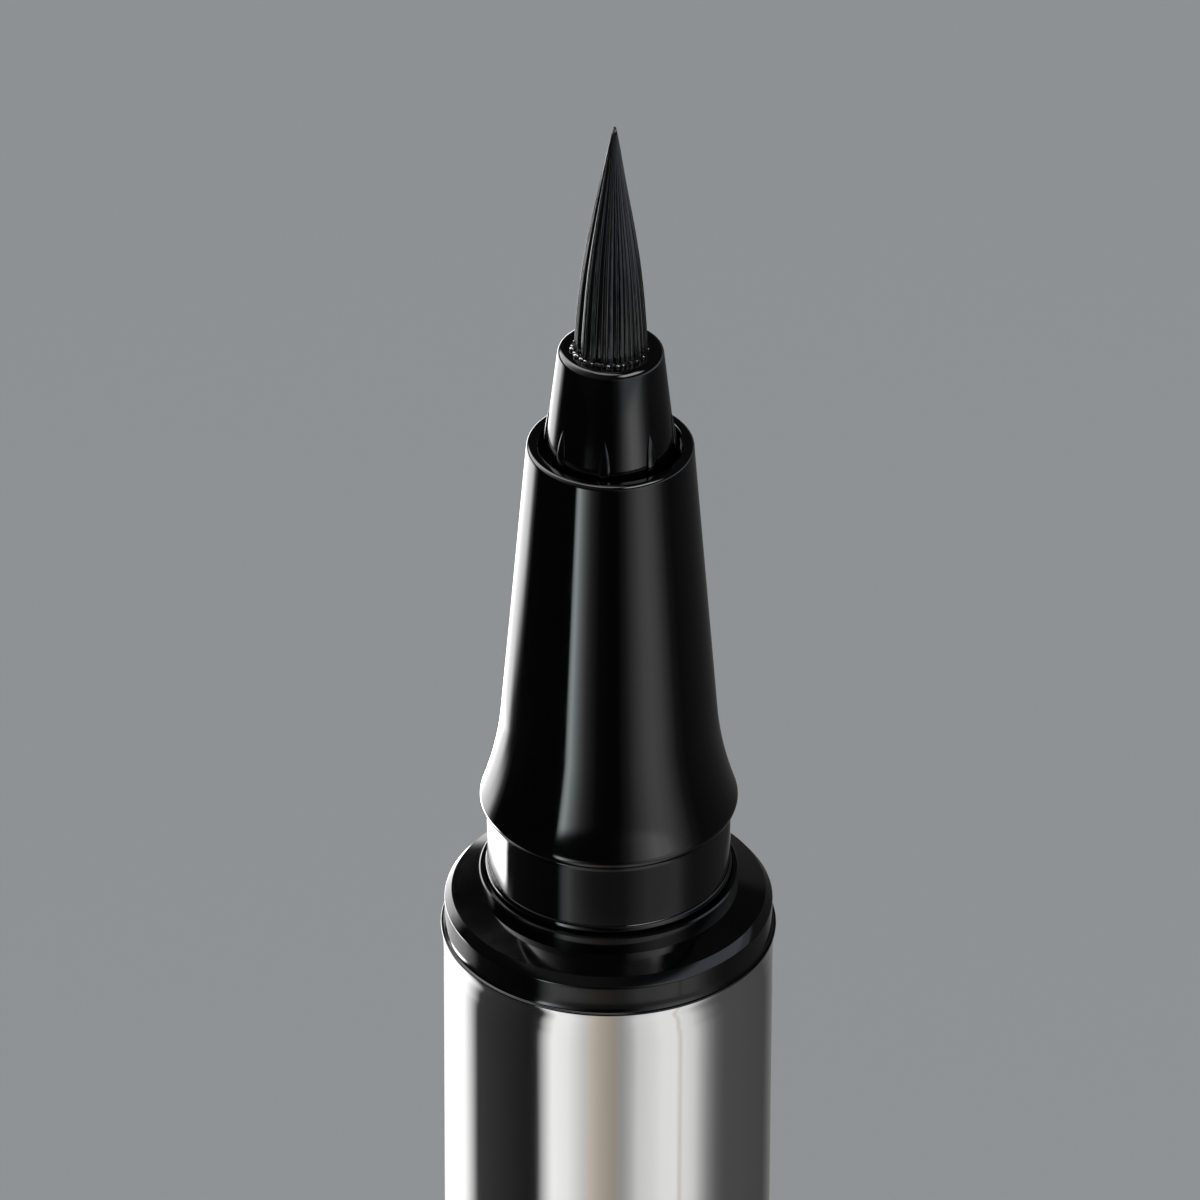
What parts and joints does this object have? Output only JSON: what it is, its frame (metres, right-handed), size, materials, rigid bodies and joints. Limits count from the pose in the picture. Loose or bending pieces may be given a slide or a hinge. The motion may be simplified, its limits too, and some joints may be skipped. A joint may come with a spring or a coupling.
{
  "type": "liquid eyeliner pen",
  "caption": "Slim liquid eyeliner pen with a fine fibre brush, a black flared nose, a silver metal barrel and its cap posted on the tail.",
  "frame": {"origin": "centre of the posted cap's closed end, where the pen stands", "axes": "+Z along the pen's axis, towards the brush; -Y towards the viewer of the picture"},
  "size_m": [0.0107, 0.0106, 0.1583],
  "materials": {
    "brush_fibre": "wet black fibres",
    "black_gloss": "polished black",
    "black_plastic": "plain moulded black",
    "silver_metal": "polished silver",
    "wick_fibre": "bonded fibre soaked with ink",
    "inked_fibre": "soaked with ink",
    "clear_film": "thin film",
    "natural_plastic": "natural white",
    "spring_steel": "bright wire"
  },
  "bodies": {
    "pen": {"brush_tip": "brush_fibre", "brush_holder": "black_gloss", "nose_cone": "black_gloss", "front_collar": "black_gloss", "barrel_sleeve": "silver_metal", "feed_rod": "wick_fibre", "ink_tube": "natural_plastic", "ink_core": "inked_fibre", "core_wrap": "clear_film", "tail_plug": "black_gloss"},
    "cap": {"cap_shell": "silver_metal", "cap_liner": "black_plastic", "inner_cap_spring": "spring_steel"},
    "inner_cap": {"inner_cap": "natural_plastic"}
  },
  "joints": [
    {"name": "cap_pull", "type": "slide", "parent": "pen", "child": "cap", "axis": [0, 0, -1], "range_m": [0, 0.012]},
    {"name": "inner_cap_press", "type": "slide", "parent": "cap", "child": "inner_cap", "axis": [0, 0, -1], "range_m": [0, 0.001], "stiffness_N_per_m": 600, "springref_m": -0.0005, "deforming": ["inner_cap_spring"]}
  ]
}
